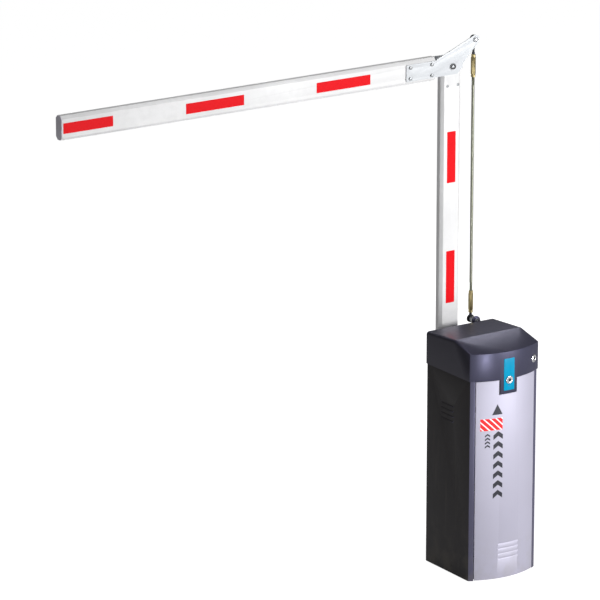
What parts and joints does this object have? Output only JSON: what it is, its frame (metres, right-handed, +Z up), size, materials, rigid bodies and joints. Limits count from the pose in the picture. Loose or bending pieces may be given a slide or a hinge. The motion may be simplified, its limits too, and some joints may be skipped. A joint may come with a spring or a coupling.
{
  "type": "parking barrier gate",
  "caption": "Vehicle barrier with a lift-off hood, hinged door and a folding arm whose outer half a tie rod keeps level as it lowers.",
  "frame": {"origin": "centre of the anchor hole pattern, on the underside of the base plate", "axes": "+Z up, -Y towards the door at the front, and the arm lowers towards -X"},
  "size_m": [2.0545, 0.5102, 2.238],
  "materials": {
    "cabinet_grey": "textured powder coat",
    "hood_grey": "semi-gloss powder coat",
    "door_silver": "satin silver paint",
    "plate_cyan": "gloss",
    "bright_chrome": "polished",
    "zinc_steel": "bright zinc plate",
    "yellow_zinc": "yellow zinc plate",
    "dark_steel": "black oxide",
    "chassis_steel": "matt",
    "boom_white": "white powder coat",
    "elbow_white": "white powder coat",
    "strip_red": "reflective tape",
    "cap_grey": "moulded",
    "drive_cast": "cast",
    "motor_blue": "semi-gloss",
    "black_plastic": "moulded",
    "box_grey": "moulded",
    "black_rubber": "matt",
    "bronze": "machined",
    "sensor_orange": "moulded"
  },
  "bodies": {
    "cabinet": {"base_plate": "chassis_steel", "body_shell": "cabinet_grey", "chassis_frame": "chassis_steel", "front_bearing_plate": "chassis_steel", "rear_bearing_plate": "chassis_steel", "shaft_bearings": "drive_cast", "front_header": "chassis_steel", "link_ear_bracket": "hood_grey", "link_ear_pin": "zinc_steel", "gearbox_housing": "drive_cast", "gearbox_cover": "drive_cast", "drive_motor": "motor_blue", "motor_fan_cover": "black_plastic", "balance_spring": "yellow_zinc", "stop_buffers": "black_rubber", "sensor_bracket": "zinc_steel", "limit_sensors": "sensor_orange", "control_box": "box_grey", "terminal_rail": "box_grey", "hood_pads": "black_rubber", "door_hinge_pins": "zinc_steel", "cabinet_fasteners": "zinc_steel", "cable_grommet": "black_rubber"},
    "hood": {"hood_shell": "hood_grey", "lock_plate": "plate_cyan", "lock_bezels": "bright_chrome"},
    "hood_lock": {"hood_lock_barrel": "bright_chrome", "hood_lock_cam": "zinc_steel"},
    "release_lock": {"release_lock_barrel": "bright_chrome"},
    "door": {"door_panel": "door_silver", "door_knuckles": "zinc_steel"},
    "main_arm": {"main_shaft": "zinc_steel", "drive_lever": "dark_steel", "sensor_cam": "zinc_steel", "boom_hub": "dark_steel", "boom_clamp_front": "elbow_white", "boom_clamp_rear": "elbow_white", "clamp_bolts": "zinc_steel", "inner_boom_tube": "boom_white", "inner_boom_strips": "strip_red", "boom_inserts": "drive_cast", "elbow_insert_bolts": "zinc_steel"},
    "outer_arm": {"elbow_plate_front": "elbow_white", "elbow_plate_rear": "elbow_white", "elbow_packers": "zinc_steel", "elbow_plate_bolts": "zinc_steel", "elbow_pivot_bolt": "zinc_steel", "horn_pin": "zinc_steel", "outer_boom_tube": "boom_white", "outer_boom_caps": "cap_grey", "outer_boom_strips": "strip_red"},
    "tie_rod": {"tie_rod_bar": "zinc_steel", "tie_rod_sleeves": "yellow_zinc", "tie_rod_eyes": "dark_steel"},
    "crank": {"output_shaft": "zinc_steel", "worm_wheel": "bronze", "crank_arm": "dark_steel"},
    "connecting_rod": {"connecting_rod": "dark_steel"},
    "worm": {"worm_shaft": "zinc_steel", "hand_knob": "black_plastic"}
  },
  "joints": [
    {"name": "arm_lift", "type": "hinge", "parent": "cabinet", "child": "main_arm", "pos_m": [0, 0.225, 0.903], "axis": [0, -1, 0], "range_deg": [0, 90]},
    {"name": "elbow_fold", "type": "hinge", "parent": "main_arm", "child": "outer_arm", "pos_m": [0, 0.256, 2.118], "axis": [0, -1, 0], "range_deg": [-90, 0]},
    {"name": "tie_rod_swing", "type": "hinge", "parent": "cabinet", "child": "tie_rod", "pos_m": [0.115, 0.244, 1.004], "axis": [0, -1, 0], "range_deg": [0, 90]},
    {"name": "crank_turn", "type": "hinge", "parent": "cabinet", "child": "crank", "pos_m": [0, 0.036, 0.603], "axis": [0, -1, 0], "range_deg": [0, 90]},
    {"name": "connecting_rod_turn", "type": "hinge", "parent": "crank", "child": "connecting_rod", "pos_m": [0.0495, 0.05, 0.5535], "axis": [0, -1, 0], "range_deg": [-90, 0]},
    {"name": "worm_turn", "type": "hinge", "parent": "cabinet", "child": "worm", "pos_m": [-0.0502, -0.048, 0.603], "axis": [0, 0, 1], "range_deg": [0, 2700]},
    {"name": "hood_lift", "type": "slide", "parent": "cabinet", "child": "hood", "axis": [0, 0, 1], "range_m": [0, 0.2]},
    {"name": "hood_lock_turn", "type": "hinge", "parent": "hood", "child": "hood_lock", "pos_m": [-0.009, -0.2105, 0.874], "axis": [0, -1, 0], "range_deg": [0, 90]},
    {"name": "release_lock_turn", "type": "hinge", "parent": "hood", "child": "release_lock", "pos_m": [0.136, -0.18113, 0.932], "axis": [0.4127, -0.9109, 0], "range_deg": [0, 90]},
    {"name": "door_swing", "type": "hinge", "parent": "cabinet", "child": "door", "pos_m": [-0.13547, -0.16926, 0.4], "axis": [0, 0, -1], "range_deg": [0, 100]}
  ],
  "couplings": [
    {"joint": "elbow_fold", "follows": "arm_lift", "ratio": -1},
    {"joint": "tie_rod_swing", "follows": "arm_lift", "ratio": 1},
    {"joint": "crank_turn", "follows": "arm_lift", "ratio": 1},
    {"joint": "connecting_rod_turn", "follows": "arm_lift", "ratio": -1},
    {"joint": "worm_turn", "follows": "arm_lift", "ratio": 30}
  ]
}
